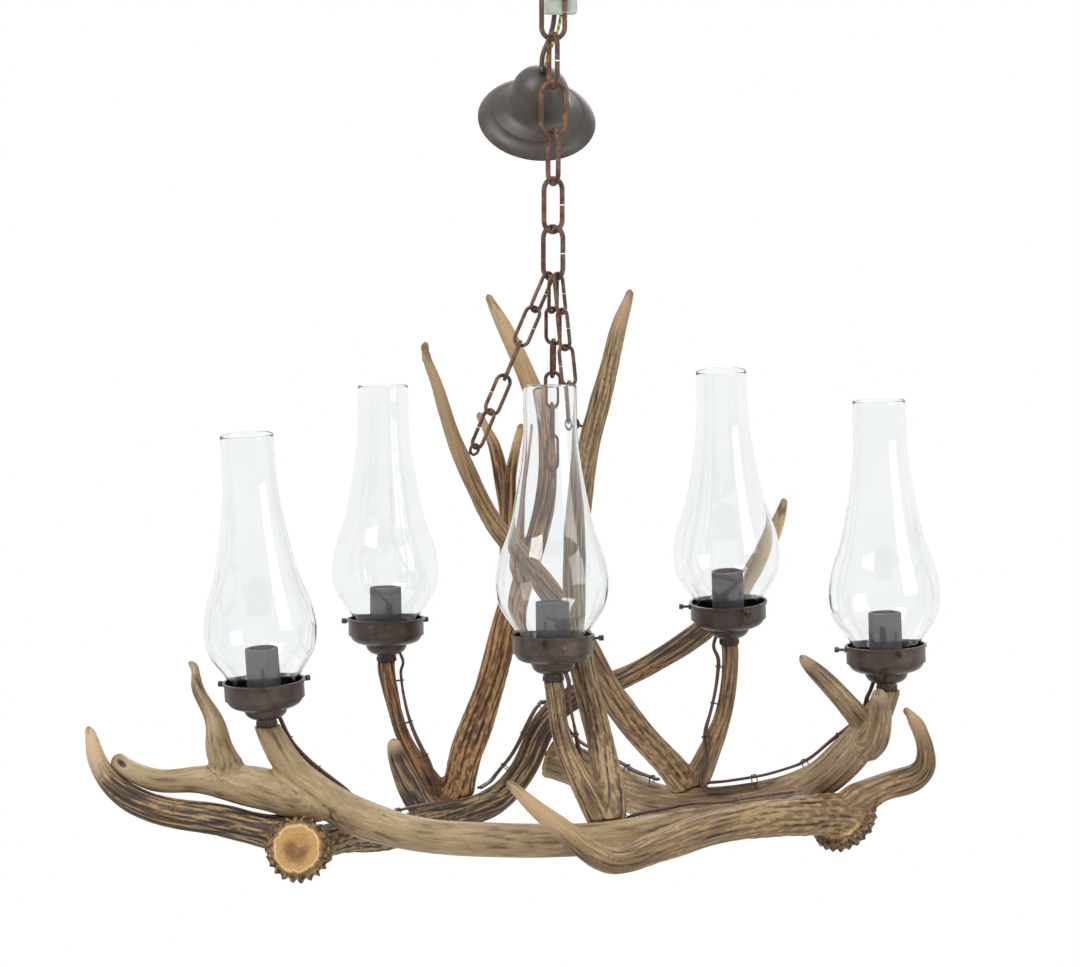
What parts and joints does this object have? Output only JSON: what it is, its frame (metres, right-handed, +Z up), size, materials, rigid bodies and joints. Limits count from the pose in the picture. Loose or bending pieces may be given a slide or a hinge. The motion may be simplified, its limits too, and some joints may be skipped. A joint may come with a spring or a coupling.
{
  "type": "antler chandelier",
  "caption": "Hanging chandelier of joined antlers with glass chimney lamps, screw eyes, chains, ceiling rose and hook; hangs from a ceiling to light a room.",
  "frame": {"origin": "on the ceiling, on the axis of the hook's shank", "axes": "+Z up along the hook's shank, +X to the right and +Y away from someone who stands before it"},
  "size_m": [0.8877, 0.5046, 1.0054],
  "materials": {
    "rusty_steel": "brown lacquered steel, slightly rusty",
    "bronze_paint": "dark bronze paint, satin, with paler specks",
    "rose_paint": "grey brown paint, satin, speckled",
    "horn_tan": "antler, smooth tan with fine grain",
    "horn_dark": "antler, dark brown and ridged, cream points",
    "horn_brown": "antler, brown and ridged",
    "glass": "clear thin blown glass",
    "dark_holder": "dark grey, matte",
    "brass": "bare",
    "lead_brown": "brown flexible PVC",
    "earth_green": "yellow and green PVC",
    "block_pale": "pale translucent plastic",
    "zinc": "dull zinc"
  },
  "bodies": {
    "ceiling_hook": {"ceiling_hook": "rusty_steel"},
    "link_1": {"chain_link_1": "rusty_steel", "terminal_block": "block_pale", "rose_flex": "lead_brown", "earth_cord": "earth_green"},
    "link_2": {"chain_link_2": "rusty_steel"},
    "link_3": {"chain_link_3": "rusty_steel"},
    "link_4": {"chain_link_4": "rusty_steel"},
    "link_5": {"chain_link_5": "rusty_steel"},
    "link_6": {"chain_link_6": "rusty_steel"},
    "rose": {"ceiling_rose": "rose_paint", "cord_grip": "bronze_paint"},
    "frame": {"leg_chain_left": "rusty_steel", "leg_chain_rear": "rusty_steel", "leg_chain_right": "rusty_steel", "screw_eyes": "rusty_steel", "lamp_contacts": "brass", "gallery_fixings": "bronze_paint", "antler_screws": "zinc", "wire_ties": "rusty_steel", "leads_left": "lead_brown", "leads_rear": "lead_brown", "leads_right": "lead_brown", "antler_front_left": "horn_tan", "antler_left_rear": "horn_dark", "antler_front_right": "horn_brown", "antler_right_rear": "horn_brown", "antler_upright_left": "horn_dark", "antler_upright_front": "horn_brown", "antler_upright_right": "horn_brown", "gallery_1": "bronze_paint", "gallery_2": "bronze_paint", "gallery_3": "bronze_paint", "gallery_4": "bronze_paint", "gallery_5": "bronze_paint", "lampholder_1": "dark_holder", "lampholder_2": "dark_holder", "lampholder_3": "dark_holder", "lampholder_4": "dark_holder", "lampholder_5": "dark_holder"},
    "chimney_1": {"chimney_1": "glass"},
    "thumbscrew_1_front": {"thumbscrew_1_front": "bronze_paint"},
    "thumbscrew_1_right": {"thumbscrew_1_right": "bronze_paint"},
    "thumbscrew_1_left": {"thumbscrew_1_left": "bronze_paint"},
    "chimney_2": {"chimney_2": "glass"},
    "thumbscrew_2_front": {"thumbscrew_2_front": "bronze_paint"},
    "thumbscrew_2_right": {"thumbscrew_2_right": "bronze_paint"},
    "thumbscrew_2_left": {"thumbscrew_2_left": "bronze_paint"},
    "chimney_3": {"chimney_3": "glass"},
    "thumbscrew_3_front": {"thumbscrew_3_front": "bronze_paint"},
    "thumbscrew_3_right": {"thumbscrew_3_right": "bronze_paint"},
    "thumbscrew_3_left": {"thumbscrew_3_left": "bronze_paint"},
    "chimney_4": {"chimney_4": "glass"},
    "thumbscrew_4_front": {"thumbscrew_4_front": "bronze_paint"},
    "thumbscrew_4_right": {"thumbscrew_4_right": "bronze_paint"},
    "thumbscrew_4_left": {"thumbscrew_4_left": "bronze_paint"},
    "chimney_5": {"chimney_5": "glass"},
    "thumbscrew_5_front": {"thumbscrew_5_front": "bronze_paint"},
    "thumbscrew_5_right": {"thumbscrew_5_right": "bronze_paint"},
    "thumbscrew_5_left": {"thumbscrew_5_left": "bronze_paint"}
  },
  "joints": [
    {"name": "chain_swing_1", "type": "hinge", "parent": "ceiling_hook", "child": "link_1", "pos_m": [0, 0, -0.05], "axis": [0.9659, 0.2588, 0], "range_deg": [-10, 10]},
    {"name": "chain_swing_2", "type": "hinge", "parent": "link_1", "child": "link_2", "pos_m": [0, 0, -0.1031], "axis": [-0.2588, 0.9659, 0], "range_deg": [-10, 10]},
    {"name": "chain_swing_3", "type": "hinge", "parent": "link_2", "child": "link_3", "pos_m": [0, 0, -0.153], "axis": [0.9397, 0.342, 0], "range_deg": [-10, 0]},
    {"name": "chain_swing_4", "type": "hinge", "parent": "link_3", "child": "link_4", "pos_m": [0, 0, -0.2029], "axis": [0, 1, 0], "range_deg": [-10, 10]},
    {"name": "chain_swing_5", "type": "hinge", "parent": "link_4", "child": "link_5", "pos_m": [0, 0, -0.2528], "axis": [0.9063, 0.4226, 0], "range_deg": [-10, 10]},
    {"name": "chain_swing_6", "type": "hinge", "parent": "link_5", "child": "link_6", "pos_m": [0, 0, -0.3027], "axis": [-0.6428, 0.766, 0], "range_deg": [-10, 10]},
    {"name": "chain_swing_7", "type": "hinge", "parent": "link_6", "child": "frame", "pos_m": [0, 0, -0.3526], "axis": [0.5736, 0.8192, 0], "range_deg": [-10, 10]},
    {"name": "rose_tilt", "type": "hinge", "parent": "link_1", "child": "rose", "pos_m": [-0.01067, 0.02019, -0.14698], "axis": [1, 0, 0], "range_deg": [0, 12]},
    {"name": "chimney_1_lift", "type": "slide", "parent": "frame", "child": "chimney_1", "axis": [-0.0593, -0.0261, 0.9979], "range_m": [0, 0.06]},
    {"name": "thumbscrew_1_front_travel", "type": "slide", "parent": "frame", "child": "thumbscrew_1_front", "axis": [0.0696, -0.9973, -0.022], "range_m": [0, 0.006]},
    {"name": "thumbscrew_1_right_travel", "type": "slide", "parent": "frame", "child": "thumbscrew_1_right", "axis": [0.8276, 0.5577, 0.0638], "range_m": [0, 0.006]},
    {"name": "thumbscrew_1_left_travel", "type": "slide", "parent": "frame", "child": "thumbscrew_1_left", "axis": [-0.8972, 0.4396, -0.0418], "range_m": [0, 0.006]},
    {"name": "chimney_2_lift", "type": "slide", "parent": "frame", "child": "chimney_2", "axis": [-0.0105, 0.0349, 0.9993], "range_m": [0, 0.06]},
    {"name": "thumbscrew_2_front_travel", "type": "slide", "parent": "frame", "child": "thumbscrew_2_front", "axis": [0.0872, -0.9956, 0.0357], "range_m": [0, 0.006]},
    {"name": "thumbscrew_2_right_travel", "type": "slide", "parent": "frame", "child": "thumbscrew_2_right", "axis": [0.8191, 0.5735, -0.0114], "range_m": [0, 0.006]},
    {"name": "thumbscrew_2_left_travel", "type": "slide", "parent": "frame", "child": "thumbscrew_2_left", "axis": [-0.9063, 0.422, -0.0242], "range_m": [0, 0.006]},
    {"name": "chimney_3_lift", "type": "slide", "parent": "frame", "child": "chimney_3", "axis": [-0.0122, 0.0523, 0.9986], "range_m": [0, 0.06]},
    {"name": "thumbscrew_3_front_travel", "type": "slide", "parent": "frame", "child": "thumbscrew_3_front", "axis": [-0.2419, -0.9691, 0.0478], "range_m": [0, 0.006]},
    {"name": "thumbscrew_3_right_travel", "type": "slide", "parent": "frame", "child": "thumbscrew_3_right", "axis": [0.9612, 0.2759, -0.0027], "range_m": [0, 0.006]},
    {"name": "thumbscrew_3_left_travel", "type": "slide", "parent": "frame", "child": "thumbscrew_3_left", "axis": [-0.7193, 0.6932, -0.0451], "range_m": [0, 0.006]},
    {"name": "chimney_4_lift", "type": "slide", "parent": "frame", "child": "chimney_4", "axis": [-0.0384, -0.061, 0.9974], "range_m": [0, 0.06]},
    {"name": "thumbscrew_4_front_travel", "type": "slide", "parent": "frame", "child": "thumbscrew_4_front", "axis": [0.3743, -0.9263, -0.0423], "range_m": [0, 0.006]},
    {"name": "thumbscrew_4_right_travel", "type": "slide", "parent": "frame", "child": "thumbscrew_4_right", "axis": [0.6152, 0.7851, 0.0717], "range_m": [0, 0.006]},
    {"name": "thumbscrew_4_left_travel", "type": "slide", "parent": "frame", "child": "thumbscrew_4_left", "axis": [-0.9895, 0.1412, -0.0294], "range_m": [0, 0.006]},
    {"name": "chimney_5_lift", "type": "slide", "parent": "frame", "child": "chimney_5", "axis": [-0.0366, 0.0174, 0.9992], "range_m": [0, 0.06]},
    {"name": "thumbscrew_5_front_travel", "type": "slide", "parent": "frame", "child": "thumbscrew_5_front", "axis": [0.2586, -0.9656, 0.0263], "range_m": [0, 0.006]},
    {"name": "thumbscrew_5_right_travel", "type": "slide", "parent": "frame", "child": "thumbscrew_5_right", "axis": [0.7066, 0.7075, 0.0136], "range_m": [0, 0.006]},
    {"name": "thumbscrew_5_left_travel", "type": "slide", "parent": "frame", "child": "thumbscrew_5_left", "axis": [-0.9653, 0.2582, -0.0399], "range_m": [0, 0.006]}
  ]
}
